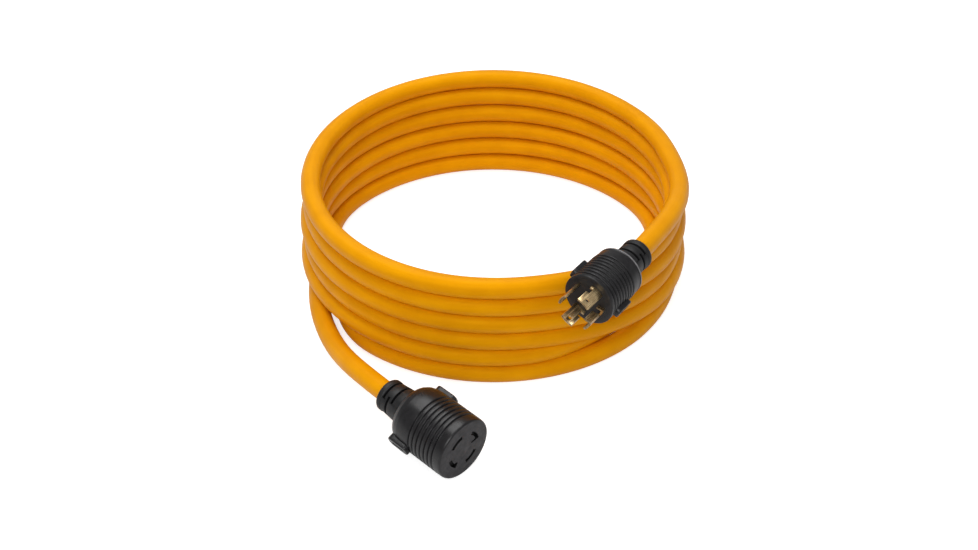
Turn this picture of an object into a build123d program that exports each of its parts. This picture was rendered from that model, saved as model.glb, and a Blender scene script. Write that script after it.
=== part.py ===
# Coiled four-conductor power cord with a moulded locking plug and a moulded locking connector.
# Units are millimetres, +Z is up, the origin is on the floor at the middle of the coil.
import os
from math import cos, radians, sin, tan
from build123d import *

os.makedirs("parts", exist_ok=True)

# ---------- cord ----------
CORD_DIA = 17.5            # outer diameter of the round jacket
COIL_RADIUS = 164.0        # centre line of the turns
TURNS_HIGH = 6             # turns lying on top of one another
TURN_ROUNDING = 0.35       # corner radius of one turn's section, in cord diameters
LEAN_PER_TURN = 0.11       # each lower turn lies this much further forward, in cord diameters
LEAD_CLEARANCE = 0.4       # air between a lead and the turns it passes

# ---------- blades and contacts, shared by the two ends ----------
BLADE_CIRCLE = 29.0        # diameter of the circle the four blades stand on
BLADE_THICK = 1.8
BLADE_SPAN = 44.0          # degrees of the circle covered by one blade
BLADE_LENGTH = 19.5        # how far the blades stand out of the plug
NOTCH_LOW = 2.5            # locking notch, measured from the face
NOTCH_HIGH = 8.0
NOTCH_SPAN = 12.0          # degrees cut out of the blade by the notch
HOOK_DEPTH = 4.6           # inward flange of the earth blade
BARREL_RADIUS = 3.0        # crimp barrel, outside
BARREL_BORE = 1.9
BARREL_LENGTH = 8.0
WIRE_RADIUS = 2.5          # insulated conductor
WIRE_CIRCLE = 3.9          # distance of each conductor from the cord's middle

# ---------- plug ----------
PLUG_INSERT_RADIUS = BLADE_CIRCLE / 2 + 3.0
PLUG_RADIUS = PLUG_INSERT_RADIUS + 4.5
TOP = (TURNS_HIGH - 0.5) * CORD_DIA
PLUG_ACROSS = 0.448 * COIL_RADIUS
PLUG_FORWARD = COIL_RADIUS + 1.588 * CORD_DIA
PLUG_FACE = (PLUG_ACROSS, -PLUG_FORWARD, TOP - CORD_DIA / 2 + PLUG_RADIUS - 1.0)
PLUG_YAW = -127.2          # heading of the blades, degrees from +X
PLUG_LENGTH = 44.5         # face to rear rim
PLUG_RINGS = 8
PLUG_RING_START = 3.2
PLUG_RING_PITCH = (PLUG_LENGTH - 14.5) / PLUG_RINGS
PLUG_INSERT_DEPTH = PLUG_LENGTH - 28.5
PLUG_CORD_END = PLUG_LENGTH - 5.0  # where the jacket stops inside the plug
PLUG_EAR_ANGLE = -24.0
PLUG_BLADE_ROLL = 60.0     # angle of the first blade

# ---------- connector ----------
CONN_INSERT_RADIUS = BLADE_CIRCLE / 2 + 5.5
CONN_RADIUS = CONN_INSERT_RADIUS + 6.6
CONN_FACE = (-0.1402 * COIL_RADIUS, -1.667 * COIL_RADIUS, CONN_RADIUS + 0.2)
CONN_YAW = -44.0
CONN_LENGTH = 59.0
CONN_RINGS = 7
CONN_RING_START = 8.0
CONN_RING_PITCH = (CONN_LENGTH - 28.9) / CONN_RINGS
CONN_INSERT_DEPTH = CONN_LENGTH - 37.0
CONN_CORD_END = CONN_LENGTH - 7.0
CONN_EAR_ANGLE = 20.0
CONN_SLOT_ROLL = 30.0      # angle of the earth slot
SLOT_WIDTH = 2.8
SLOT_SPAN = 48.0
NEUTRAL_STEP = 1.5         # the neutral slot is this much wider inwards at one end
NEUTRAL_STEP_SPAN = 15.0
POCKET_WIDTH = 5.2         # radial room behind each slot for the folded contact
POCKET_SPAN = 54.0
POCKET_FRONT = 3.0         # thickness of the front wall of the insert

# ---------- strain reliefs ----------
PLUG_RELIEF_LENGTH = 28.0
CONN_RELIEF_LENGTH = 27.0
RELIEF_SLOT_WIDTH = 2.2
RELIEF_SLOT_PITCH = 4.9
RELIEF_SLOT_SPAN = 104.0
GROOVE_DEPTH = 1.3
PLUG_RELIEF_WALL = (5.0, 4.3)      # thickness over the cord, front and rear
CONN_RELIEF_WALL = (6.65, 4.7)

BORE = CORD_DIA / 2


def end_frame(face, yaw):
    """Local frame of a moulded end: +Z leaves the face, +Y is up."""
    a = radians(yaw)
    return Plane(origin=face, x_dir=(-sin(a), cos(a), 0), z_dir=(cos(a), sin(a), 0))


def turned(points):
    """Solid of revolution about the local Z axis from (radius, height) points."""
    return revolve(Plane.XZ * Polygon(*points, align=None), Axis.Z, 360)


def ring_sector(r_in, r_out, z_low, z_high, start, span):
    """Part of a tube wall between two angles."""
    r_mid = (r_in + r_out) / 2
    z_mid = (z_low + z_high) / 2
    section = Plane.XZ * (Pos(r_mid, z_mid) * Rectangle(r_out - r_in, z_high - z_low))
    return Rot(0, 0, start) * revolve(section, Axis.Z, span)


def rod(radius, z_low, z_high, x=0.0, y=0.0):
    return Pos(x, y, (z_low + z_high) / 2) * Cylinder(radius, z_high - z_low)


def ear(angle, r_body, r_out, z_low, z_high, width):
    """Finger grip: a block standing out of the body, rounded all round, with a groove along its top."""
    length = z_high - z_low
    height = r_out - r_body + 6.0
    block = Box(height, width, length)
    block = fillet(block.edges().filter_by(Axis.X), 0.4 * width)
    outer = block.faces().sort_by(Axis.X)[-1]
    block = fillet(outer.edges(), 1.2)
    block = Pos(r_out - height / 2, 0, (z_low + z_high) / 2) * block
    groove = Box(1.4, 0.24 * width, length * 0.6)
    block -= Pos(r_out, 0, (z_low + z_high) / 2) * groove
    return Rot(0, 0, angle) * block


def grooved_outline(radius, start, pitch, count, depth):
    """(radius, height) points of the grip rings, from the face backwards."""
    points = []
    for i in range(count):
        z = -start - i * pitch
        points.append((radius, z))
        points.append((radius - depth, z - 0.55))
        points.append((radius - depth, z - 1.35))
        points.append((radius, z - 1.9))
    return points


# ---------- plug ----------
def plug_housing():
    outline = [(PLUG_RADIUS - 1.0, 0), (PLUG_RADIUS, -1.0)]
    outline += grooved_outline(PLUG_RADIUS, PLUG_RING_START, PLUG_RING_PITCH, PLUG_RINGS, GROOVE_DEPTH)
    r = PLUG_RADIUS
    rear = -PLUG_LENGTH
    outline += [(r, rear + 12.3), (r - 0.4, rear + 7.5), (r - 0.9, rear + 3.0)]
    outline += [(r - 1.1, rear + 1.0), (r - 2.0, rear), (BORE, rear)]
    outline += [(BORE, rear + 5.0), (PLUG_INSERT_RADIUS - 1.0, rear + 14.5)]
    outline += [(PLUG_INSERT_RADIUS - 1.0, -PLUG_INSERT_DEPTH), (PLUG_INSERT_RADIUS, -PLUG_INSERT_DEPTH)]
    outline += [(PLUG_INSERT_RADIUS, 0)]
    body = turned(outline)
    for half in (0, 180):
        block = ear(PLUG_EAR_ANGLE + half, r, r + 2.8, rear + 18.7, -8.8, 9.5)
        body += block - rod(r - 3.0, rear - 2, 1)
    return body


def blade(angle, hooked):
    """Curved brass blade with its locking notch, eyelet and crimp barrel, all one stamping."""
    r_in = BLADE_CIRCLE / 2 - BLADE_THICK / 2
    r_out = BLADE_CIRCLE / 2 + BLADE_THICK / 2
    half = BLADE_SPAN / 2
    piece = ring_sector(r_in, r_out, NOTCH_HIGH, BLADE_LENGTH, -half, BLADE_SPAN)
    piece += ring_sector(r_in, r_out, NOTCH_LOW, NOTCH_HIGH, -half, BLADE_SPAN - NOTCH_SPAN)
    piece += ring_sector(r_in, r_out, -8.0, NOTCH_LOW, -half, BLADE_SPAN)
    piece += ring_sector(r_in, r_out, -PLUG_INSERT_DEPTH - 4.0, -8.0, -15.0, 30.0)
    if hooked:
        flange = ring_sector(r_in - HOOK_DEPTH, r_in + 0.2, -8.0, BLADE_LENGTH, half - 7.0, 7.0)
        start = half - NOTCH_SPAN
        flange -= ring_sector(r_in - HOOK_DEPTH - 1, r_out + 1, NOTCH_LOW, NOTCH_HIGH, start, 14.0)
        piece += flange
    middle = r_out - BARREL_RADIUS
    piece += rod(BARREL_RADIUS, -PLUG_INSERT_DEPTH - BARREL_LENGTH, -PLUG_INSERT_DEPTH, middle)
    piece -= rod(BARREL_BORE, -PLUG_INSERT_DEPTH - BARREL_LENGTH - 1, -PLUG_INSERT_DEPTH - 1.5, middle)
    eyelet = Pos(BLADE_CIRCLE / 2, 0, 14.5) * Rot(0, 90, 0) * Cylinder(1.6, 8)
    piece -= eyelet
    return Rot(0, 0, angle) * piece


def plug_insert(blades):
    disc = rod(PLUG_INSERT_RADIUS, -PLUG_INSERT_DEPTH, 0)
    for piece in blades:
        disc -= piece
    return disc


def conductor(angle, middle, z_front, z_cord, bare):
    """Insulated core from the crimp barrel to the end of the jacket, with its bare tip in the barrel."""
    path = FilletPolyline(
        (middle, 0, z_front),
        (middle, 0, z_front - 4.5),
        (WIRE_CIRCLE, 0, z_cord + 3.5),
        (WIRE_CIRCLE, 0, z_cord),
        radius=3.6,
    )
    core = sweep(Plane(origin=(middle, 0, z_front), z_dir=(0, 0, -1)) * Circle(WIRE_RADIUS), path)
    core += rod(BARREL_BORE, z_front - 0.5, z_front + bare, middle)
    return Rot(0, 0, angle) * core


# ---------- connector ----------
def connector_housing():
    r = CONN_RADIUS
    outline = [(r - 1.8, 0), (r - 0.9, -0.5), (r - 0.4, -1.6)]
    outline += grooved_outline(r, CONN_RING_START, CONN_RING_PITCH, CONN_RINGS, GROOVE_DEPTH + 0.1)
    rear = -CONN_LENGTH
    outline += [(r, rear + 15.0), (r - 0.4, rear + 10.0), (r - 1.5, rear + 6.0), (r - 3.4, rear + 2.8)]
    outline += [(r - 6.0, rear + 0.6), (r - 8.5, rear), (BORE, rear)]
    cavity = CONN_INSERT_RADIUS - 2.4
    outline += [(BORE, rear + 7.0), (cavity, rear + 20.0), (cavity, -CONN_INSERT_DEPTH)]
    outline += [(CONN_INSERT_RADIUS, -CONN_INSERT_DEPTH), (CONN_INSERT_RADIUS, 0)]
    body = turned(outline)
    for half in (0, 180):
        block = ear(CONN_EAR_ANGLE + half, r, r + 3.0, rear + 3.8, rear + 24.0, 10.0)
        body += block - rod(r - 3.0, rear - 5, 1)
    return body


def slot_cut(angle, hooked, stepped):
    """Narrow curved slot in the front wall and the wider pocket behind it."""
    r_mid = BLADE_CIRCLE / 2
    low = r_mid - SLOT_WIDTH / 2
    high = r_mid + SLOT_WIDTH / 2
    cut = ring_sector(low, high, -POCKET_FRONT - 0.5, 1, -SLOT_SPAN / 2, SLOT_SPAN)
    if hooked:
        cut += ring_sector(low - HOOK_DEPTH, low + 0.2, -POCKET_FRONT - 0.5, 1, -SLOT_SPAN / 2, 11.0)
    if stepped:
        end = SLOT_SPAN / 2 - NEUTRAL_STEP_SPAN
        cut += ring_sector(low - NEUTRAL_STEP, low + 0.2, -POCKET_FRONT - 0.5, 1, end, NEUTRAL_STEP_SPAN)
    p_low = r_mid - POCKET_WIDTH / 2
    p_high = r_mid + POCKET_WIDTH / 2
    cut += ring_sector(p_low, p_high, -CONN_INSERT_DEPTH - 1, -POCKET_FRONT, -POCKET_SPAN / 2, POCKET_SPAN)
    return Rot(0, 0, angle) * cut


def contact(angle):
    """Folded spring contact: two curved leaves joined behind, with a crimp barrel."""
    r_mid = BLADE_CIRCLE / 2
    p_low = r_mid - POCKET_WIDTH / 2
    p_high = r_mid + POCKET_WIDTH / 2
    span = POCKET_SPAN - 8.0
    back = -CONN_INSERT_DEPTH
    piece = ring_sector(p_low, p_low + 1.2, back, -POCKET_FRONT - 1.5, -span / 2, span)
    piece += ring_sector(p_high - 1.2, p_high, back, -POCKET_FRONT - 1.5, -span / 2, span)
    piece += ring_sector(p_low, p_high, back, back + 1.6, -span / 2, span)
    middle = p_high - BARREL_RADIUS
    piece += rod(BARREL_RADIUS, back - BARREL_LENGTH, back, middle)
    piece -= rod(BARREL_BORE, back - BARREL_LENGTH - 1, back - 1.0, middle)
    return Rot(0, 0, angle) * piece


def connector_insert():
    disc = rod(CONN_INSERT_RADIUS, -CONN_INSERT_DEPTH, 0)
    for i in range(4):
        disc -= slot_cut(CONN_SLOT_ROLL + 90 * i, CONTACT_NAMES[i] == "earth", CONTACT_NAMES[i] == "neutral")
    return disc


# ---------- strain relief ----------
def strain_relief(z_front, length, wall_front, wall_rear):
    """Slotted sleeve moulded on the cord, with a collar at its free end."""
    r_front = BORE + wall_front
    r_rear = BORE + wall_rear
    z_rear = z_front - length
    outline = [(BORE, z_front), (r_front, z_front), (r_rear, z_rear + 4.8), (r_rear + 0.5, z_rear + 4.4)]
    outline += [(r_rear + 0.5, z_rear + 1.4), (r_rear - 0.3, z_rear + 0.4), (r_rear - 1.4, z_rear)]
    outline += [(BORE, z_rear)]
    sleeve = turned(outline)
    for row in range(3):
        z = z_rear + 5.6 + row * RELIEF_SLOT_PITCH
        for half in (0, 180):
            start = 90 * row + half + 38
            sleeve -= ring_sector(BORE + 1.1, 20, z, z + RELIEF_SLOT_WIDTH, start, RELIEF_SLOT_SPAN)
    return sleeve


# ---------- cord ----------
def bend_radii(points):
    """One radius per corner: as large as the shorter neighbouring run allows."""
    radii = []
    for i in range(1, len(points) - 1):
        a = Vector(*points[i]) - Vector(*points[i - 1])
        b = Vector(*points[i + 1]) - Vector(*points[i])
        half_turn = radians(a.get_angle(b)) / 2
        radii.append(0.45 * min(a.length, b.length) / tan(half_turn))
    return radii


def tube(points, radius):
    path = FilletPolyline(*points, radius=bend_radii(points))
    start = Plane(origin=points[0], z_dir=Vector(*points[1]) - Vector(*points[0]))
    return sweep(start * Circle(radius), path), path.length


def behind(face, yaw, distance):
    a = radians(yaw)
    return (face[0] - distance * cos(a), face[1] - distance * sin(a), face[2])


D = CORD_DIA
R = COIL_RADIUS
LEAVE_ANGLE = 8.0          # where the last turn leaves the stack, degrees from +X
FIRST_RUN = 2.82 * D       # straight start of the plug lead
LEAVE_COS = cos(radians(LEAVE_ANGLE))
LEAVE_SIN = sin(radians(LEAVE_ANGLE))
PLUG_ROUTE = [
    (R * LEAVE_COS, R * LEAVE_SIN, TOP),
    (R * LEAVE_COS + FIRST_RUN * LEAVE_SIN, R * LEAVE_SIN - FIRST_RUN * LEAVE_COS, TOP),
    behind(PLUG_FACE, PLUG_YAW, PLUG_LENGTH + 72.5),
    behind(PLUG_FACE, PLUG_YAW, PLUG_CORD_END),
]
CONN_ROUTE = [
    (-0.985 * R, -0.201 * R, D / 2),
    (-0.960 * R, -0.524 * R, D / 2),
    (-0.8415 * R, -0.8445 * R, D / 2),
    behind(CONN_FACE, CONN_YAW, CONN_LENGTH + 56.0),
    behind(CONN_FACE, CONN_YAW, CONN_CORD_END),
]


def turn_ring(level):
    """One turn of the stack as a closed ring with a rounded section."""
    section = Plane.XZ * (Pos(R, (level + 0.5) * D) * RectangleRounded(D, D, TURN_ROUNDING * D))
    ring = revolve(section, Axis.Z, 360)
    forward = (TURNS_HIGH - 1 - level) * LEAN_PER_TURN * D
    return Pos(0, -forward, 0) * ring


def coil():
    """Closed outer shape of the coiled turns, opened where the two leads and the plug lie."""
    body = turn_ring(0)
    body += Pos(0, -0.6 * D, D / 2) * (Cylinder(R - 0.2 * D, 0.8 * D) - Cylinder(R - 0.9 * D, D))
    body += Pos(0, 0, D / 2) * (Cylinder(R + 0.6 * D, 0.8 * D) - Cylinder(R - 0.3 * D, D))
    for level in range(1, TURNS_HIGH):
        body += turn_ring(level)
    gap_floor = (TURNS_HIGH - 1) * D
    gap = extrude(Plane.XY.offset(gap_floor) * make_wedge(-66.0, LEAVE_ANGLE, R + 3 * D), 2 * D)
    body -= gap
    lead, length = tube(CONN_ROUTE, D / 2 + LEAD_CLEARANCE)
    body -= lead
    return body


def make_wedge(start, end, reach):
    a = radians(start)
    b = radians(end)
    m = (a + b) / 2
    return Polygon(
        (0, 0),
        (reach * cos(a), reach * sin(a)),
        (1.3 * reach * cos(m), 1.3 * reach * sin(m)),
        (reach * cos(b), reach * sin(b)),
        align=None,
    )


def save(shape, node):
    solids = shape.solids()
    print(node, "solids", len(solids), "volume", round(shape.volume, 1), "valid", shape.is_valid)
    export_step(solids[0] if len(solids) == 1 else shape, "parts/" + node + ".step")


BLADE_NAMES = ["hot_y", "neutral", "hot_x", "earth"]
CONTACT_NAMES = ["earth", "hot_x", "neutral", "hot_y"]

plug_place = end_frame(PLUG_FACE, PLUG_YAW)
conn_place = end_frame(CONN_FACE, CONN_YAW)

blades = []
for i in range(4):
    blades.append(blade(PLUG_BLADE_ROLL + 90 * i, BLADE_NAMES[i] == "earth"))

save(plug_place * plug_housing(), "plug_housing")
save(plug_place * plug_insert(blades), "plug_insert")
for i in range(4):
    save(plug_place * blades[i], "plug_blade_" + BLADE_NAMES[i])
    middle = BLADE_CIRCLE / 2 + BLADE_THICK / 2 - BARREL_RADIUS
    z_front = -PLUG_INSERT_DEPTH - BARREL_LENGTH
    wire = conductor(PLUG_BLADE_ROLL + 90 * i, middle, z_front, -PLUG_CORD_END, BARREL_LENGTH - 2)
    save(plug_place * wire, "plug_conductor_" + BLADE_NAMES[i])
plug_sleeve = strain_relief(-PLUG_LENGTH, PLUG_RELIEF_LENGTH, *PLUG_RELIEF_WALL)
save(plug_place * plug_sleeve, "plug_strain_relief")

save(conn_place * connector_housing(), "connector_housing")
save(conn_place * connector_insert(), "connector_insert")
for i in range(4):
    save(conn_place * contact(CONN_SLOT_ROLL + 90 * i), "connector_contact_" + CONTACT_NAMES[i])
    middle = BLADE_CIRCLE / 2 + POCKET_WIDTH / 2 - BARREL_RADIUS
    z_front = -CONN_INSERT_DEPTH - BARREL_LENGTH
    wire = conductor(CONN_SLOT_ROLL + 90 * i, middle, z_front, -CONN_CORD_END, BARREL_LENGTH - 2)
    save(conn_place * wire, "connector_conductor_" + CONTACT_NAMES[i])
conn_sleeve = strain_relief(-CONN_LENGTH, CONN_RELIEF_LENGTH, *CONN_RELIEF_WALL)
save(conn_place * conn_sleeve, "connector_strain_relief")

save(coil(), "cord_coil")
for node, route in (("cord_plug_lead", PLUG_ROUTE), ("cord_connector_lead", CONN_ROUTE)):
    shape, length = tube(route, D / 2)
    save(shape, node)
    ratio = shape.volume / (3.14159265 * (D / 2) ** 2 * length)
    print(node, "length", round(length, 1), "bend radii", [round(r, 1) for r in bend_radii(route)])
    print(node, "volume over section times length", round(ratio, 4))
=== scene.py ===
# %% [markdown]
# # A coiled power cord with locking ends
# The object is a thick four-core power cord, wound into a round coil of about six
# turns. A black moulded plug with four curved brass blades rests against the top of
# the coil, and the matching connector lies on the floor in front. Nothing on it moves,
# so every piece rides on the one body, root. Blender's unit is the metre, and the
# small sizes of the moulded ends are written in millimetres and multiplied by MM.

# %% Load the frame and helpers
from math import cos, hypot, pi, radians, sin

import bpy
from mathutils import Matrix, Vector


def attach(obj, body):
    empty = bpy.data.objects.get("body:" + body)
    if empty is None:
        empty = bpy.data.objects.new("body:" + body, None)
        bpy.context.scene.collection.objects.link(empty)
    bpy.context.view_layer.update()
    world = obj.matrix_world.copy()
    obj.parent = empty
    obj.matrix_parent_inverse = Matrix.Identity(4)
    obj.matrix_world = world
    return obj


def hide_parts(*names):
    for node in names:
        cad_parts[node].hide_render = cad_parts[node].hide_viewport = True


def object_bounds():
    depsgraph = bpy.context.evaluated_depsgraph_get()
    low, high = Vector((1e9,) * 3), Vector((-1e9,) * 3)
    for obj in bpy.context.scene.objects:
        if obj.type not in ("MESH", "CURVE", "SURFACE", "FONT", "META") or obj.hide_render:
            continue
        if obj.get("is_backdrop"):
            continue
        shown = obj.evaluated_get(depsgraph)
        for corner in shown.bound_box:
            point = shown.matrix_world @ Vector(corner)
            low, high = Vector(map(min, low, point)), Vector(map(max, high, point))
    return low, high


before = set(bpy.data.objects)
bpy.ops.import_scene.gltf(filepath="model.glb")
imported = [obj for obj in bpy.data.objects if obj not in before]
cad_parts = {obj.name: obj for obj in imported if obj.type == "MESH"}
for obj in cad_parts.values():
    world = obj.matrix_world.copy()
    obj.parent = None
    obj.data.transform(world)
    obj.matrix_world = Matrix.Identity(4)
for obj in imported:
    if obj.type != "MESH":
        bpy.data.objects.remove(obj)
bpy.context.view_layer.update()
MM = 0.001

# %% [markdown]
# ## Camera and light
# The view looks slightly down on the coil, about forty degrees above the floor, with a
# moderate lens. Large soft boxes and a pale floor give the even light of a product
# picture. A wide source is what makes a round cord look round: its reflection runs
# along the top of each turn and fades without an edge. Small strong lamps would leave
# hard spots on the cord and black shadows between the turns. The floor looks white,
# but throws little light back, so that the lower sides of the cord keep their depth.

# %% Camera
CORD = 0.0175
LENS_MM = 44.28
CAMERA_TILT = radians(39.61)
CAMERA_AWAY = 60.44 * CORD
LOOK_AT = Vector((-0.217 * CORD, -4.783 * CORD, 2.5 * CORD))
eye = LOOK_AT + CAMERA_AWAY * Vector((0, -cos(CAMERA_TILT), sin(CAMERA_TILT)))
bpy.ops.object.camera_add(location=eye, rotation=(pi / 2 - CAMERA_TILT, 0, 0))
camera = bpy.context.object
camera.name = "studio_camera"
camera.data.lens = LENS_MM
camera.data.sensor_width = 36.0
bpy.context.scene.camera = camera
bpy.context.scene.view_settings.view_transform = "Standard"
print("camera at", tuple(round(v, 3) for v in eye))

# %% Soft boxes


def soft_box(name, place, size, power, target=(0, -0.05, 0.05)):
    """A large square light that faces the object."""
    aim = (Vector(target) - Vector(place)).to_track_quat("-Z", "Y").to_euler()
    bpy.ops.object.light_add(type="AREA", location=place, rotation=aim)
    lamp = bpy.context.object
    lamp.name = name
    lamp.data.shape = "SQUARE"
    lamp.data.size = size
    lamp.data.energy = power
    return lamp


soft_box("box_above", (-0.2, 0.3, 1.4), 1.2, 15.0)
soft_box("box_front", (-0.25, -1.2, 1.05), 0.7, 8.0)
soft_box("box_right", (0.95, -0.85, 1.1), 0.7, 1.5)

# %% Room light and floor
world = bpy.data.worlds.new("studio_room")
bpy.context.scene.world = world
world.use_nodes = True
room = world.node_tree.nodes["Background"]
room.inputs["Color"].default_value = (1.0, 1.0, 1.0, 1)
room.inputs["Strength"].default_value = 0.34
bpy.ops.mesh.primitive_plane_add(size=12, location=(0, 0, 0))
floor = bpy.context.object
floor.name = "studio_floor"
floor_paint = bpy.data.materials.new("pale_floor")
floor_paint.use_nodes = True
floor_shader = floor_paint.node_tree.nodes["Principled BSDF"]
floor_shader.inputs["Base Color"].default_value = (0.7, 0.7, 0.7, 1)
floor_shader.inputs["Roughness"].default_value = 0.9
floor_shader.inputs["Specular IOR Level"].default_value = 0.1
floor_shader.inputs["Emission Color"].default_value = (1, 1, 1, 1)
seen = floor_paint.node_tree.nodes.new("ShaderNodeLightPath")
glow = floor_paint.node_tree.nodes.new("ShaderNodeMapRange")
glow.inputs["To Min"].default_value = 0.1
glow.inputs["To Max"].default_value = 0.72
floor_paint.node_tree.links.new(seen.outputs["Is Camera Ray"], glow.inputs["Value"])
floor_paint.node_tree.links.new(glow.outputs["Result"], floor_shader.inputs["Emission Strength"])
floor.data.materials.append(floor_paint)
floor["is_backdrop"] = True
print("floor", floor.name)

# %% [markdown]
# ## The cord's route
# A cord is a length of something bendy, so it is one curve from end to end. It leaves
# the plug, joins the top of the coil, goes round and down level by level, comes out at
# the floor on the left and ends in the connector. The turns lie straight on one
# another, and each drops one level in the same quarter, beside the plug. The last
# turn but one tucks in on the floor so that the last one can lie outside it.
# A smooth NURBS line follows a loop of about two dozen points a turn. Rings stacked
# up would be quicker, but then no turn would lead into the next.

# %% Where the ends lie
PLUG_FACE = (0.448 * 0.164, -0.19179, 0.1085)
PLUG_YAW = -127.2
CONN_FACE = (-0.1402 * 0.164, -1.667 * 0.164, 0.0268)
CONN_YAW = -44.0
COIL_RADIUS = 0.164
TOP_LEVEL = 5.5 * CORD


def behind(face, yaw, distance):
    """Point on the axis of a moulded end, so far behind its face."""
    a = radians(yaw)
    return (face[0] - distance * cos(a), face[1] - distance * sin(a), face[2])


def smooth(t):
    """Ease from 0 to 1."""
    t = min(1.0, max(0.0, t))
    return t * t * (3 - 2 * t)


print("the ends are", round((Vector(PLUG_FACE) - Vector(CONN_FACE)).length, 3), "m apart")

# %% How wide each turn is
SIDE_REACH = (0.02, -0.02, 0.19, 0.08, 0.30, 0.20)
DROP_START = (0, -83, -83, -83, -83, -90, -75)
DROP_END = (0, -20, -20, -20, -20, -22, 0)


def turn_outline(level, degrees_round):
    """Plan position of one turn, at an angle round the coil."""
    a = radians(degrees_round)
    d = degrees_round % 360
    k = min(level, 5)
    x = (COIL_RADIUS + SIDE_REACH[k] * CORD) * cos(a)
    y = -0.1385 * CORD * k + (COIL_RADIUS - 0.0765 * CORD * k) * sin(a)
    reach = hypot(x, y)
    wanted = reach
    if level == 5 and d <= 270:
        tuck = 1 - smooth(d / 24)
        if d >= 180:
            tuck = 1 - smooth((d - 194) / 36)
        elif d >= 100:
            tuck = 1 - smooth((180 - d) / 24)
        wanted = reach + (COIL_RADIUS - 0.9 * CORD - reach) * tuck
    if level == 6 and d > 285:
        wanted = reach + (COIL_RADIUS + 0.11 * CORD - reach) * smooth((d - 285) / 75)
    elif level == 6:
        x, y = turn_outline(5, degrees_round)
        reach = hypot(x, y)
        wanted = reach + 1.01 * CORD
    return x * wanted / reach, y * wanted / reach


print("top turn is", round(2 * turn_outline(0, 0)[0], 3), "m across")

# %% Wind the turns


def coil_point(angle):
    """Centre of the cord after winding through this angle from the top."""
    turn = int((angle + 91) // 360)
    degrees_round = angle % 360
    into = angle - 360 * turn
    x, y = turn_outline(turn, degrees_round)
    if turn == 0 or into >= 0:
        return x, y, TOP_LEVEL - min(turn, 5) * CORD
    t = smooth((into - DROP_START[turn]) / (DROP_END[turn] - DROP_START[turn]))
    px, py = turn_outline(turn - 1, degrees_round)
    if turn == 5:
        qx, qy = turn_outline(6, degrees_round)
        keep = 1 - CORD * sin(t * pi / 2) / hypot(qx, qy)
        x = qx * keep + (px - qx) * (1 - t)
        y = qy * keep + (py - qy) * (1 - t)
        return x, y, (0.5 + cos(t * pi / 2)) * CORD
    level = min(turn - 1 + t, 5)
    return px + (x - px) * t, py + (y - py) * t, TOP_LEVEL - level * CORD


# %% The route's points
LEAVE = radians(8.0)
FIRST_RUN = 2.82 * CORD
STEP = 15
COIL_POINTS = 156
route = [
    behind(PLUG_FACE, PLUG_YAW, 0.0395),
    behind(PLUG_FACE, PLUG_YAW, 0.117),
    (
        COIL_RADIUS * cos(LEAVE) + FIRST_RUN * sin(LEAVE),
        COIL_RADIUS * sin(LEAVE) - FIRST_RUN * cos(LEAVE),
        TOP_LEVEL,
    ),
]
for i in range(COIL_POINTS):
    x, y, z = coil_point(STEP * (i + 1))
    outward = 1 / cos(radians(STEP / 2))
    route.append((x * outward, y * outward, z))
route += [
    (-0.985 * COIL_RADIUS, -0.201 * COIL_RADIUS, CORD / 2),
    (-0.960 * COIL_RADIUS, -0.524 * COIL_RADIUS, CORD / 2),
    (-0.8415 * COIL_RADIUS, -0.8445 * COIL_RADIUS, CORD / 2),
    behind(CONN_FACE, CONN_YAW, 0.115),
    behind(CONN_FACE, CONN_YAW, 0.052),
]
print("route points", len(route))

# %% Build the cord
line = bpy.data.curves.new("power_cord", "CURVE")
line.dimensions = "3D"
spline = line.splines.new("NURBS")
spline.points.add(len(route) - 1)
for point, place in zip(spline.points, route):
    point.co = (*place, 1)
    point.radius = CORD / 2
spline.order_u = 3
spline.use_endpoint_u = True
spline.resolution_u = 6
line.bevel_depth = 1.0
line.bevel_resolution = 10
power_cord = bpy.data.objects.new("power_cord", line)
bpy.context.collection.objects.link(power_cord)
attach(power_cord, "root")
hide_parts("cord_coil", "cord_plug_lead", "cord_connector_lead")
print("cord length", round(spline.calc_length(), 3))

# %% [markdown]
# ## Finishes
# Every finish starts as a plain shader and gets what the real one shows. A small set
# of helpers adds the nodes: noise for blotches and grain, and a bump for relief.
# Patterns follow the object's own coordinates, in metres, so a scale of 1500 makes a
# grain of about two thirds of a millimetre wherever the piece lies.

# %% Node helpers


def new_finish(name, roughness, metallic=0.0, specular=0.5):
    """A finish with its shader, ready for patterns."""
    finish = bpy.data.materials.new(name)
    finish.use_nodes = True
    shader = finish.node_tree.nodes["Principled BSDF"]
    shader.inputs["Roughness"].default_value = roughness
    shader.inputs["Metallic"].default_value = metallic
    shader.inputs["Specular IOR Level"].default_value = specular
    return finish, finish.node_tree, shader


def add_noise(tree, scale, detail=3.0, stretch=None, source="Object", turn=0.0):
    """A noise pattern, which may be stretched, on the chosen coordinates."""
    place = tree.nodes.new("ShaderNodeTexCoord")
    noise = tree.nodes.new("ShaderNodeTexNoise")
    noise.inputs["Scale"].default_value = scale
    noise.inputs["Detail"].default_value = detail
    if stretch is None:
        tree.links.new(place.outputs[source], noise.inputs["Vector"])
        return noise.outputs["Fac"]
    mapping = tree.nodes.new("ShaderNodeMapping")
    mapping.inputs["Scale"].default_value = stretch
    if turn:
        spin_round = tree.nodes.new("ShaderNodeMapping")
        spin_round.inputs["Rotation"].default_value = (0, 0, -turn)
        tree.links.new(place.outputs[source], spin_round.inputs["Vector"])
        tree.links.new(spin_round.outputs["Vector"], mapping.inputs["Vector"])
    else:
        tree.links.new(place.outputs[source], mapping.inputs["Vector"])
    tree.links.new(mapping.outputs["Vector"], noise.inputs["Vector"])
    return noise.outputs["Fac"]


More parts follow.
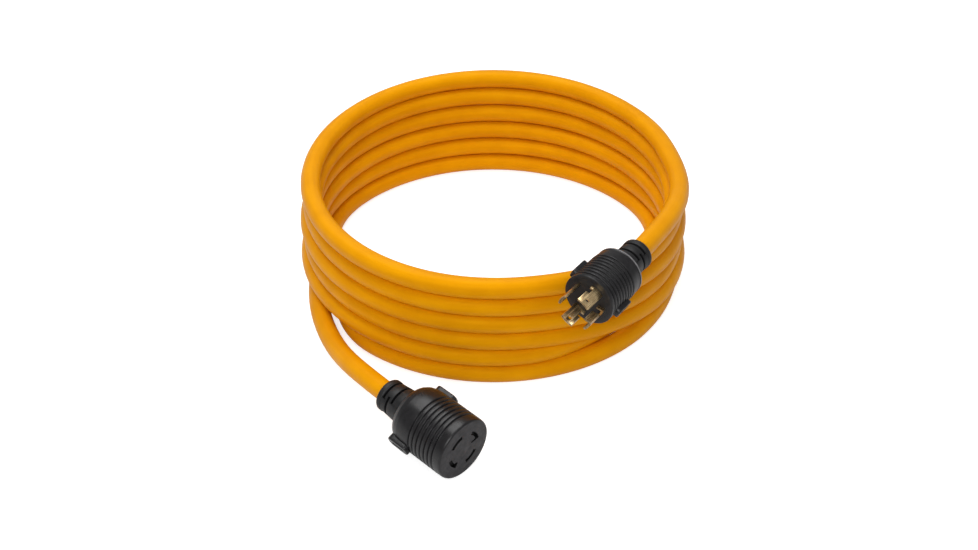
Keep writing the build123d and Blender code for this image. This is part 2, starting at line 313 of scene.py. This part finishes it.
def blend_colours(tree, pattern, first, second, low=0.35, high=0.65):
    """Mix two colours by a pattern."""
    ramp = tree.nodes.new("ShaderNodeValToRGB")
    ramp.color_ramp.elements[0].position = low
    ramp.color_ramp.elements[0].color = (*first, 1)
    ramp.color_ramp.elements[1].position = high
    ramp.color_ramp.elements[1].color = (*second, 1)
    tree.links.new(pattern, ramp.inputs["Fac"])
    return ramp.outputs["Color"]


def vary(tree, pattern, low, high):
    """Turn a pattern into a number between two values."""
    span = tree.nodes.new("ShaderNodeMapRange")
    span.inputs["From Min"].default_value = 0.3
    span.inputs["From Max"].default_value = 0.7
    span.inputs["To Min"].default_value = low
    span.inputs["To Max"].default_value = high
    tree.links.new(pattern, span.inputs["Value"])
    return span.outputs["Result"]


def add_bump(tree, shader, pattern, depth, strength=1.0, before=None):
    """Relief of a given depth in metres, on top of another relief if there is one."""
    bump = tree.nodes.new("ShaderNodeBump")
    bump.inputs["Distance"].default_value = depth
    bump.inputs["Strength"].default_value = strength
    tree.links.new(pattern, bump.inputs["Height"])
    if before is not None:
        tree.links.new(before, bump.inputs["Normal"])
    tree.links.new(bump.outputs["Normal"], shader.inputs["Normal"])
    return bump.outputs["Normal"]


print("node helpers ready")

# %% [markdown]
# ## Jacket
# The jacket is soft orange-yellow plastic pressed over four twisted cores. It is
# evenly coloured, with faint lengthwise streaks from the die and a shallow twist
# where the cores press through. Its gloss is soft and takes the colour of the
# plastic. The streaks and the twist follow the cord, so they read the cord's own
# map, with its length along one axis and its girth along the other.

# %% Jacket finish
jacket, tree, shader = new_finish("yellow_jacket", 0.4, specular=0.24)
shader.inputs["Specular Tint"].default_value = (1.0, 0.6, 0.03, 1)
streaks = add_noise(tree, 1.0, 2.0, stretch=(60.0, 9.0, 1.0), source="UV")
blotches = add_noise(tree, 42.0, 4.0)
mixed = tree.nodes.new("ShaderNodeMath")
mixed.operation = "MULTIPLY_ADD"
mixed.inputs[1].default_value = 0.5
halved = tree.nodes.new("ShaderNodeMath")
halved.operation = "MULTIPLY"
halved.inputs[1].default_value = 0.5
tree.links.new(streaks, mixed.inputs[0])
tree.links.new(blotches, halved.inputs[0])
tree.links.new(halved.outputs["Value"], mixed.inputs[2])
DEEP_YELLOW = (0.755, 0.292, 0.0012)
PALE_YELLOW = (0.835, 0.345, 0.0016)
tone = blend_colours(tree, mixed.outputs["Value"], DEEP_YELLOW, PALE_YELLOW, 0.38, 0.62)
tree.links.new(tone, shader.inputs["Base Color"])
tree.links.new(vary(tree, add_noise(tree, 90.0), 0.34, 0.47), shader.inputs["Roughness"])
print("jacket tones", DEEP_YELLOW, PALE_YELLOW)

# %% Twist of the cores under the jacket
TWISTS = 36
map_place = tree.nodes.new("ShaderNodeTexCoord")
parts = tree.nodes.new("ShaderNodeSeparateXYZ")
tree.links.new(map_place.outputs["UV"], parts.inputs["Vector"])
along = tree.nodes.new("ShaderNodeMath")
along.operation = "MULTIPLY_ADD"
along.inputs[1].default_value = TWISTS
tree.links.new(parts.outputs["X"], along.inputs[0])
tree.links.new(parts.outputs["Y"], along.inputs[2])
phase = tree.nodes.new("ShaderNodeMath")
phase.operation = "MULTIPLY"
phase.inputs[1].default_value = 4 * 2 * pi
tree.links.new(along.outputs["Value"], phase.inputs[0])
ridges = tree.nodes.new("ShaderNodeMath")
ridges.operation = "SINE"
tree.links.new(phase.outputs["Value"], ridges.inputs[0])
twist_relief = add_bump(tree, shader, ridges.outputs["Value"], 0.00004)
grain_relief = add_bump(tree, shader, add_noise(tree, 1400.0, 2.0), 0.00002, 0.5, twist_relief)
add_bump(tree, shader, streaks, 0.00025, 0.35, grain_relief)
line.materials.append(jacket)
print("one twist every", round(1000 * 7.1 / TWISTS), "mm")

# %% [markdown]
# ## Moulded black plastic
# Both ends are moulded in black soft plastic. The mould leaves a fine grain, and the
# gloss changes slightly where hands and the mould have polished it. The reliefs are
# the same plastic, a little duller. The flat faces are a harder plastic in dark grey
# with a coarser, matt grain.

# %% Black finishes


def black_plastic(name, dark, light, rough, grain_size, grain_depth):
    """Moulded plastic: mottled tone, uneven gloss and a fine mould grain."""
    finish, tree, shader = new_finish(name, rough[0], specular=0.4)
    tone = blend_colours(tree, add_noise(tree, 260.0, 5.0), dark, light)
    tree.links.new(tone, shader.inputs["Base Color"])
    tree.links.new(vary(tree, add_noise(tree, 120.0, 4.0), *rough), shader.inputs["Roughness"])
    coarse = add_bump(tree, shader, add_noise(tree, 180.0, 3.0), 0.00025, 0.25)
    add_bump(tree, shader, add_noise(tree, grain_size, 2.0), grain_depth, 0.5, coarse)
    return finish


moulding = black_plastic(
    "black_moulding", (0.0065, 0.006, 0.0068), (0.0115, 0.0108, 0.012), (0.26, 0.37), 1500.0, 0.00004
)
relief_plastic = black_plastic(
    "relief_plastic", (0.0055, 0.0055, 0.006), (0.010, 0.0098, 0.0108), (0.42, 0.54), 1300.0, 0.00005
)
face_plastic = black_plastic(
    "face_plastic", (0.022, 0.0205, 0.0225), (0.036, 0.034, 0.037), (0.52, 0.68), 900.0, 0.00006
)
dark_face = black_plastic(
    "dark_face_plastic", (0.005, 0.0048, 0.0055), (0.009, 0.0085, 0.0098), (0.45, 0.58), 1000.0, 0.00005
)
# Near-black painted shade for the walls of the connector's slots and pockets, standing in for the shade
# inside them.
pocket_painted_shade = black_plastic(
    "pocket_painted_shade", (0.002, 0.002, 0.002), (0.004, 0.004, 0.004), (0.6, 0.75), 1000.0, 0.00005
)
# Light grey painted highlight for the faces of the plug's rear rim.
rim_painted_highlight = black_plastic(
    "rim_painted_highlight", (0.16, 0.155, 0.16), (0.2, 0.195, 0.2), (0.2, 0.28), 1500.0, 0.00003
)
print("black finishes", [f.name for f in (moulding, relief_plastic, face_plastic, dark_face)])

# %% [markdown]
# ## Brass
# The blades are stamped from brass strip. Rolling and the plug's use draw fine lines
# along each blade, and the metal darkens in soft patches. Its gloss is broken by
# those lines, so the noise is stretched along the blade's own direction.

# %% Brass finishes


def brass(name, bright, dull, rough, yaw):
    """Stamped brass with lines along an end's axis and slightly darkened patches."""
    finish, tree, shader = new_finish(name, rough[0], metallic=1.0)
    patches = add_noise(tree, 210.0, 4.0)
    tone = blend_colours(tree, patches, bright, dull, 0.4, 0.72)
    tree.links.new(tone, shader.inputs["Base Color"])
    lines = add_noise(tree, 1.0, 3.0, stretch=(120.0, 3600.0, 3600.0), turn=radians(yaw))
    tree.links.new(vary(tree, lines, *rough), shader.inputs["Roughness"])
    add_bump(tree, shader, lines, 0.00002, 0.35)
    return finish


BRIGHT_BRASS = (0.80, 0.60, 0.33)
DULL_BRASS = (0.50, 0.34, 0.17)
blade_brass = brass("blade_brass", BRIGHT_BRASS, DULL_BRASS, (0.2, 0.36), PLUG_YAW)
contact_brass = brass("contact_brass", BRIGHT_BRASS, DULL_BRASS, (0.28, 0.44), CONN_YAW)
print("brass finishes", blade_brass.name, contact_brass.name)

# %% [markdown]
# ## Core insulation
# Inside the moulded ends the four cores are bare of the jacket: black, red, white
# and green plastic, smooth and slightly waxy, with faint lengthwise marks.

# %% Insulation finishes


def insulation(name, colour):
    """Waxy coloured plastic with a faint mottle."""
    finish, tree, shader = new_finish(name, 0.4)
    shade = tuple(0.8 * c for c in colour)
    tree.links.new(
        blend_colours(tree, add_noise(tree, 400.0, 3.0), shade, colour), shader.inputs["Base Color"]
    )
    tree.links.new(vary(tree, add_noise(tree, 700.0), 0.34, 0.48), shader.inputs["Roughness"])
    add_bump(tree, shader, add_noise(tree, 2000.0, 2.0), 0.00002, 0.4)
    return finish


core_finishes = {
    "hot_x": insulation("insulation_black", (0.02, 0.02, 0.022)),
    "hot_y": insulation("insulation_red", (0.55, 0.02, 0.015)),
    "neutral": insulation("insulation_white", (0.75, 0.74, 0.70)),
    "earth": insulation("insulation_green", (0.02, 0.25, 0.05)),
}
for end in ("plug", "connector"):
    for core, finish in core_finishes.items():
        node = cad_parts[f"{end}_conductor_{core}"]
        node.data.materials.clear()
        node.data.materials.append(finish)
for core in core_finishes:
    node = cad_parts[f"connector_contact_{core}"]
    node.data.materials.clear()
    node.data.materials.append(contact_brass)
print("core finishes", sorted(core_finishes))

# %% [markdown]
# ## Modelling helpers
# Each end is modelled standing on the origin with its face up, and is laid in its
# place when it is finished. A turned piece starts as one point, which is extruded
# along the outline, has its corners rounded and is spun about the Z axis, as on a
# lathe. A curved bar is a rectangle spun through part of a turn. Slots and holes are
# cut with those bars, which gives true edges that can be rounded afterwards.

# %% Pick parts of a mesh


def clear_pick():
    """Nothing stays selected, so an operator can't act on the frame."""
    bpy.ops.object.select_all(action="DESELECT")


def pick(piece, kind, test):
    """Select the vertices, edges or faces that pass a test, and go to edit mode."""
    bpy.ops.object.select_all(action="DESELECT")
    piece.select_set(True)
    bpy.context.view_layer.objects.active = piece
    bpy.ops.object.mode_set(mode="EDIT")
    bpy.ops.mesh.select_mode(type=kind)
    bpy.ops.mesh.select_all(action="DESELECT")
    bpy.ops.object.mode_set(mode="OBJECT")
    mesh = piece.data
    members = {"VERT": mesh.vertices, "EDGE": mesh.edges, "FACE": mesh.polygons}[kind]
    for member in members:
        member.select = bool(test(member))
    bpy.ops.object.mode_set(mode="EDIT")


def close_mesh():
    """Merge doubled points, point the faces outwards and leave edit mode."""
    bpy.ops.mesh.select_all(action="SELECT")
    bpy.ops.mesh.remove_doubles(threshold=0.002 * MM)
    bpy.ops.mesh.normals_make_consistent(inside=False)
    bpy.ops.object.mode_set(mode="OBJECT")


print("picking helpers ready")

# %% Turned pieces


def turned(name, outline, rounding, steps=120, segments=3, sharp=0.0):
    """Spin an outline of (radius, height) points, in millimetres, about the Z axis.

    The front corner at the radius called sharp isn't rounded.
    """
    clear_pick()
    bpy.ops.mesh.primitive_plane_add(size=MM)
    piece = bpy.context.object
    piece.name = name
    bpy.ops.object.mode_set(mode="EDIT")
    bpy.ops.mesh.select_mode(type="VERT")
    bpy.ops.mesh.merge(type="CENTER")
    here = Vector()
    for i, (radius, height) in enumerate(outline):
        there = Vector((radius, 0, height)) * MM
        if i == 0:
            bpy.ops.transform.translate(value=there - here)
        else:
            bpy.ops.mesh.extrude_region_move(TRANSFORM_OT_translate={"value": there - here})
        here = there
    bpy.ops.mesh.select_all(action="SELECT")
    bpy.ops.mesh.remove_doubles(threshold=0.001 * MM)
    bpy.ops.object.mode_set(mode="OBJECT")

    def is_soft(v):
        front_corner = abs(v.co.x - sharp * MM) < 0.005 * MM and v.co.z > -0.005 * MM
        return v.co.x > 0.001 * MM and not front_corner

    pick(piece, "VERT", is_soft)
    bpy.ops.mesh.bevel(offset=rounding * MM, segments=segments, affect="VERTICES", clamp_overlap=True)
    bpy.ops.mesh.select_all(action="SELECT")
    bpy.ops.mesh.spin(steps=steps, angle=2 * pi, center=(0, 0, 0), axis=(0, 0, 1))
    close_mesh()
    return piece


print("lathe helper ready")

# %% Curved bars and boxes


def curved_bar(name, r_in, r_out, z_low, z_high, start, span, steps=16):
    """A bar bent round the Z axis, in millimetres, from one angle through a span."""
    clear_pick()
    middle = Vector((r_in + r_out, 0, z_low + z_high)) * MM / 2
    bpy.ops.mesh.primitive_plane_add(size=MM, location=middle, rotation=(pi / 2, 0, 0))
    piece = bpy.context.object
    piece.name = name
    piece.scale = (r_out - r_in, z_high - z_low, 1)
    bpy.ops.object.transform_apply(location=True, rotation=True, scale=True)
    bpy.ops.object.mode_set(mode="EDIT")
    bpy.ops.mesh.select_all(action="SELECT")
    bpy.ops.mesh.spin(steps=steps, angle=radians(span), center=(0, 0, 0), axis=(0, 0, 1))
    close_mesh()
    round_about(piece, start + span)
    return piece


def round_about(piece, angle):
    """Turn a piece about the Z axis and keep the turn in its mesh."""
    clear_pick()
    piece.select_set(True)
    bpy.context.view_layer.objects.active = piece
    piece.rotation_euler = (0, 0, radians(angle))
    bpy.ops.object.transform_apply(location=True, rotation=True, scale=True)


def block(name, middle, size):
    """A box, in millimetres, ready to be cut and rounded."""
    clear_pick()
    bpy.ops.mesh.primitive_cube_add(size=MM, location=Vector(middle) * MM)
    piece = bpy.context.object
    piece.name = name
    piece.scale = size
    bpy.ops.object.transform_apply(location=True, rotation=True, scale=True)
    return piece


print("bar helpers ready")

# %% Cut, join and round


def combine(piece, other, operation):
    """Cut the other piece away, or join it on, and remove it."""
    tool = piece.modifiers.new("combine", "BOOLEAN")
    tool.operation = operation
    tool.solver = "EXACT"
    tool.object = other
    clear_pick()
    piece.select_set(True)
    bpy.context.view_layer.objects.active = piece
    bpy.ops.object.modifier_apply(modifier=tool.name)
    bpy.data.objects.remove(other)
    return piece


def round_edges(piece, width, angle=40.0, segments=2):
    """Round every edge that is sharper than the angle."""
    tool = piece.modifiers.new("rounding", "BEVEL")
    tool.width = width * MM
    tool.segments = segments
    tool.limit_method = "ANGLE"
    tool.angle_limit = radians(angle)
    clear_pick()
    piece.select_set(True)
    bpy.context.view_layer.objects.active = piece
    bpy.ops.object.modifier_apply(modifier=tool.name)
    return piece


def lay_in_place(piece, face, yaw, finish, slot, *nodes):
    """Move a finished piece to its end's place, attach it to the root body and hide the imported nodes
    that it replaces.
    """
    a = radians(yaw)
    place = Matrix(((-sin(a), 0, cos(a)), (cos(a), 0, sin(a)), (0, 1, 0))).to_4x4()
    place.translation = Vector(face)
    clear_pick()
    piece.select_set(True)
    bpy.context.view_layer.objects.active = piece
    piece.matrix_world = place
    bpy.ops.object.transform_apply(location=True, rotation=True, scale=True)
    bpy.ops.object.shade_smooth_by_angle(angle=radians(32))
    if not piece.data.materials:
        piece.data.materials.append(finish)
    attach(piece, "root")
    if nodes:
        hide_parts(*nodes)
    print(piece.name, "faces", len(piece.data.polygons))
    return piece


print("shaping helpers ready")

# %% [markdown]
# ## Grip rings and finger grips
# A ring is a shallow groove with sloping sides, and a row of them makes the ridged
# band that fingers turn. The two finger grips are narrow blocks that stand out of the
# body opposite each other, with rounded ends and a groove along their backs.

# %% Rings and grips
BLADE_CIRCLE = 29.0
GROOVE_DEPTH = 1.3


def rings(radius, start, pitch, count, depth):
    """(radius, height) points of a row of grooves, from the face backwards."""
    points = []
    for i in range(count):
        z = -start - i * pitch
        points += [(radius, z), (radius - depth, z - 0.55)]
        points += [(radius - depth, z - 1.35), (radius, z - 1.9)]
    return points


def finger_grip(angle, r_body, r_out, z_low, z_high, width):
    """A rounded block with a groove along its back, standing out of the body."""
    height = r_out - r_body + 2.5
    length = z_high - z_low
    middle = (z_low + z_high) / 2
    grip = block("grip", (r_out - height / 2, 0, middle), (height, width, length))
    pick(grip, "EDGE", lambda e: abs(edge_run(grip, e).x) > 0.9)
    bpy.ops.mesh.bevel(offset=0.4 * width * MM, segments=8, affect="EDGES", clamp_overlap=True)
    bpy.ops.object.mode_set(mode="OBJECT")
    pick(grip, "FACE", lambda f: f.normal.x > 0.9)
    bpy.ops.mesh.bevel(offset=1.1 * MM, segments=4, affect="EDGES", clamp_overlap=True)
    bpy.ops.object.mode_set(mode="OBJECT")
    groove = block("groove", (r_out, 0, middle), (2.0, width * 0.26, length * 0.6))
    combine(grip, groove, "DIFFERENCE")
    print("grip points", len(grip.data.vertices))
    round_about(grip, angle)
    return grip


def edge_run(piece, edge):
    """Direction of an edge."""
    a, b = (piece.data.vertices[i].co for i in edge.vertices)
    return (b - a).normalized()


print("ring rows ready")

# %% [markdown]
# ## Plug body
# The plug's body is one moulding: eight fine grip rings behind the face, a plain rear
# quarter that ends in a thin raised rim, and the two finger grips. It is a lathe job
# with the grips joined on. The rim's faces are painted light grey, as a painted
# highlight along the rear edge.

# %% Plug body
PLUG_R = BLADE_CIRCLE / 2 + 7.5
PLUG_REAR = -44.5
PLUG_INSERT_R = BLADE_CIRCLE / 2 + 3.0
PLUG_DEPTH = 16.0
CORD_R = 8.75
SEAM = 0.02
outline = [(PLUG_INSERT_R + SEAM, 0), (PLUG_R, 0)]
outline += rings(PLUG_R, 3.2, 3.75, 8, GROOVE_DEPTH)
outline += [(PLUG_R, PLUG_REAR + 12.3), (PLUG_R - 0.4, PLUG_REAR + 7.5), (PLUG_R - 1.1, PLUG_REAR + 2.6)]
outline += [(PLUG_R - 0.6, PLUG_REAR + 2.0), (PLUG_R - 0.7, PLUG_REAR + 0.7), (PLUG_R - 1.6, PLUG_REAR)]
outline += [(CORD_R, PLUG_REAR), (CORD_R, PLUG_REAR + 5)]
outline += [(PLUG_INSERT_R - 1, PLUG_REAR + 14.5), (PLUG_INSERT_R - 1, -PLUG_DEPTH - 0.1)]
outline += [(PLUG_INSERT_R + SEAM, -PLUG_DEPTH - 0.1), (PLUG_INSERT_R + SEAM, 0)]
plug_body = turned("plug_body", outline, 0.28, sharp=PLUG_INSERT_R + SEAM)
for half in (0, 180):
    grip = finger_grip(half - 24.0, PLUG_R, PLUG_R + 2.9, -26.0, -7.4, 9.8)
    combine(plug_body, grip, "UNION")
plug_body.data.materials.append(moulding)
plug_body.data.materials.append(rim_painted_highlight)
# Faces on the rear rim get the light grey painted highlight.
for face in plug_body.data.polygons:
    on_rim = hypot(face.center.x, face.center.y) > (PLUG_R - 1.05) * MM
    low_enough = face.center.z < (PLUG_REAR + 2.1) * MM
    face.material_index = int(on_rim and low_enough)
lay_in_place(plug_body, PLUG_FACE, PLUG_YAW, moulding, "moulding", "plug_housing")

# %% [markdown]
# ## Plug face
# A round block of plastic carries the four blades. It is pressed flush into the body,
# so the line where they meet hardly shows.

# %% Plug face block


def face_block(name, radius, depth, rounding):
    """A short cylinder with rounded rims and flat caps of one face each."""
    piece = turned(name, [(0, 0), (radius, 0), (radius, -depth), (0, -depth)], rounding)
    pick(piece, "FACE", lambda f: True)
    bpy.ops.mesh.dissolve_limited(angle_limit=radians(0.5))
    bpy.ops.object.mode_set(mode="OBJECT")
    return piece


plug_face = face_block("plug_face", PLUG_INSERT_R, PLUG_DEPTH, 0.05)
BLADE_THICK = 1.8
for i in range(4):
    hole = curved_bar(
        "hole",
        (BLADE_CIRCLE - BLADE_THICK) / 2 - 0.03,
        (BLADE_CIRCLE + BLADE_THICK) / 2 + 0.03,
        -30,
        5,
        60 + 90 * i - 22.2,
        44.4,
    )
    combine(plug_face, hole, "DIFFERENCE")
hook_hole = curved_bar("hole", 9.0 - 0.03, 13.8, -9, 5, 330 + 14.8, 7.4, 3)
combine(plug_face, hook_hole, "DIFFERENCE")
lay_in_place(plug_face, PLUG_FACE, PLUG_YAW, dark_face, "face_insert", "plug_insert")

# %% [markdown]
# ## Blades
# Each blade is a strip of brass bent to the circle, with a notch near its root that
# locks when the plug is turned and a small eyelet near its tip. The earth blade has
# an inward flange along one edge. Behind the face the strip ends in a tube that is
# crimped on its core. The strips are curved bars, cut and then rounded all over.

# %% Blades
NOTCH = (2.5, 8.0, 12.0)
BLADE_LENGTH = 19.5
BLADE_SPAN = 44.0
HOOK = 4.6


def blade(name, angle, hooked):
    """One curved blade with its notch, eyelet and crimp tube."""
    r_in = (BLADE_CIRCLE - BLADE_THICK) / 2
    r_out = (BLADE_CIRCLE + BLADE_THICK) / 2
    half = BLADE_SPAN / 2
    piece = curved_bar(name, r_in, r_out, -20.0, BLADE_LENGTH, -half, BLADE_SPAN, 22)
    if hooked:
        flange = curved_bar("flange", r_in - HOOK, r_in + 0.4, -8.0, BLADE_LENGTH, half - 7.0, 7.0, 4)
        combine(piece, flange, "UNION")
    for side in (-1, 1):
        waist = curved_bar("waist", 8, 18, -40, -8, side * 25.0 - 10.0, 20.0)
        combine(piece, waist, "DIFFERENCE")
    notch = curved_bar("notch", 8, 18, NOTCH[0], NOTCH[1], half - NOTCH[2], 20.0)
    combine(piece, notch, "DIFFERENCE")
    clear_pick()
    bpy.ops.mesh.primitive_cylinder_add(
        vertices=28,
        radius=1.6 * MM,
        depth=12 * MM,
        location=(BLADE_CIRCLE / 2 * MM, 0, 14.5 * MM),
        rotation=(0, pi / 2, 0),
    )
    combine(piece, bpy.context.object, "DIFFERENCE")
    tube = turned("crimp", [(1.9, -16), (3, -16), (3, -24), (1.9, -24), (1.9, -16)], 0.2, 32)
    tube.location.x = (r_out - 3.15) * MM
    combine(piece, tube, "UNION")
    round_edges(piece, 0.25, 50, 2)
    round_about(piece, angle)
    return piece


for i, core in enumerate(("hot_y", "neutral", "hot_x", "earth")):
    piece = blade(f"plug_pin_{core}", 60 + 90 * i, core == "earth")
    lay_in_place(piece, PLUG_FACE, PLUG_YAW, blade_brass, "blade_brass", f"plug_blade_{core}")

# %% [markdown]
# ## Connector body
# The connector's body is longer and wider than the plug's: a plain collar in front,
# seven grip rings, a smooth rounded rear and two finger grips beside it. Its
# front rim belongs to the flat face, so it gets the face's matt finish.

# %% Connector body
CONN_INSERT_R = BLADE_CIRCLE / 2 + 5.5
CONN_R = CONN_INSERT_R + 6.6
CONN_REAR = -59.0
CONN_DEPTH = 22.0
outline = [(CONN_INSERT_R + SEAM, 0), (CONN_R - 1.5, 0), (CONN_R - 0.6, -0.6), (CONN_R - 0.2, -1.8)]
outline += rings(CONN_R, 8.0, 4.3, 7, GROOVE_DEPTH + 0.1)
outline += [(CONN_R, CONN_REAR + 15), (CONN_R - 0.4, CONN_REAR + 10), (CONN_R - 1.5, CONN_REAR + 6)]
outline += [(CONN_R - 3.4, CONN_REAR + 2.8), (CONN_R - 6.0, CONN_REAR + 0.6), (CONN_R - 8.5, CONN_REAR)]
outline += [(CORD_R, CONN_REAR), (CORD_R, CONN_REAR + 7)]
outline += [(CONN_INSERT_R - 2.4, CONN_REAR + 20), (CONN_INSERT_R - 2.4, -CONN_DEPTH - 0.1)]
outline += [(CONN_INSERT_R + SEAM, -CONN_DEPTH - 0.1), (CONN_INSERT_R + SEAM, 0)]
connector_body = turned("connector_body", outline, 0.35, sharp=CONN_INSERT_R + SEAM)
for half in (0, 180):
    grip = finger_grip(half + 17.0, CONN_R, CONN_R + 3.0, -55.8, -34.6, 10.4)
    combine(connector_body, grip, "UNION")
connector_body.data.materials.append(moulding)
connector_body.data.materials.append(face_plastic)
for face in connector_body.data.polygons:
    face.material_index = int(face.normal.z > 0.9 and face.center.z > -0.2 * MM)
lay_in_place(connector_body, CONN_FACE, CONN_YAW, moulding, "moulding", "connector_housing")

# %% [markdown]
# ## Connector face
# The face has four curved slots on one circle. The earth slot has a hook at one end
# and the neutral slot is wider at one end. A pocket behind each slot holds the
# folded contact. The walls of the slots and pockets are painted near-black, as
# painted shade, so the slots look black.

# %% Connector face block
connector_face = face_block("connector_face", CONN_INSERT_R, CONN_DEPTH, 0.05)
SLOT_WIDTH = 3.2
SLOT_SPAN = 48.0
POCKET_WIDTH = 5.2
low = (BLADE_CIRCLE - SLOT_WIDTH) / 2
high = (BLADE_CIRCLE + SLOT_WIDTH) / 2
for i in range(4):
    middle = 30 + 90 * i
    slot = curved_bar("slot", low, high, -3.5, 1, middle - SLOT_SPAN / 2, SLOT_SPAN)
    if i == 0:
        hook = curved_bar("hook", low - HOOK, low + 0.2, -3.5, 1, middle - SLOT_SPAN / 2, 11.0, 4)
        combine(slot, hook, "UNION")
    if i == 2:
        step = curved_bar("step", low - 1.5, low + 0.2, -3.5, 1, middle + 9.0, 15.0, 5)
        combine(slot, step, "UNION")
    combine(connector_face, slot, "DIFFERENCE")
round_edges(connector_face, 0.12, 50, 2)
for i in range(4):
    pocket_low = (BLADE_CIRCLE - POCKET_WIDTH) / 2 - 0.03
    pocket_high = (BLADE_CIRCLE + POCKET_WIDTH) / 2 + 0.03
    pocket = curved_bar("pocket", pocket_low, pocket_high, -27, -3, 90 * i + 3.0, 54.0)
    combine(connector_face, pocket, "DIFFERENCE")
connector_face.data.materials.append(face_plastic)
connector_face.data.materials.append(pocket_painted_shade)
# Faces below the face, the walls of the slots and pockets, get the near-black painted shade.
for face in connector_face.data.polygons:
    face.material_index = int(face.center.z < -0.2 * MM)
lay_in_place(connector_face, CONN_FACE, CONN_YAW, face_plastic, "face_insert", "connector_insert")

# %% [markdown]
# ## Strain reliefs
# The relief is a short tapering sleeve moulded on the cord, so that it can't kink at
# the body. It is weakened on purpose by rows of slots, each row a quarter turn from
# the last, and ends in a plain collar.

# %% Strain reliefs
SLOT_PITCH = 4.9


def relief(name, z_front, length, r_front, r_rear):
    """A slotted, tapering sleeve with a collar at its free end."""
    z_rear = z_front - length
    inside = CORD_R + 0.03
    shape = [(inside, z_front), (r_front, z_front), (r_rear, z_rear + 4.8)]
    shape += [(r_rear + 0.5, z_rear + 4.4), (r_rear + 0.5, z_rear + 1.2), (r_rear - 0.2, z_rear)]
    shape += [(inside, z_rear), (inside, z_front)]
    sleeve = turned(name, shape, 0.45, 96)
    for row in range(3):
        z = z_rear + 5.6 + row * SLOT_PITCH
        for half in (0, 180):
            slot = curved_bar("slot", CORD_R + 1.1, 20, z, z + 2.2, 90 * row + half + 38, 104.0, 24)
            combine(sleeve, slot, "DIFFERENCE")
    round_edges(sleeve, 0.2, 55, 2)
    return sleeve


plug_relief = relief("plug_relief", PLUG_REAR, 28.0, 13.75, 13.05)
lay_in_place(plug_relief, PLUG_FACE, PLUG_YAW, relief_plastic, "relief", "plug_strain_relief")
connector_relief = relief("connector_relief", CONN_REAR, 27.0, 15.4, 13.45)
lay_in_place(
    connector_relief, CONN_FACE, CONN_YAW, relief_plastic, "relief", "connector_strain_relief"
)

# %% [markdown]
# ## Facts of the cord
# The cord is about 7.1 metres long, which is the whole length that the coil holds.
# It leaves the plug's relief and ends in the connector.

# %% [markdown]
# ## Sizes
# The box of the visual model, without the floor and the hidden imported nodes, is
# measured and printed. The visual model has to stay in the box of the imported one.

# %% Write the sizes and finish
bpy.context.view_layer.update()
low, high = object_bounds()
print("visual box", tuple(low), tuple(high))
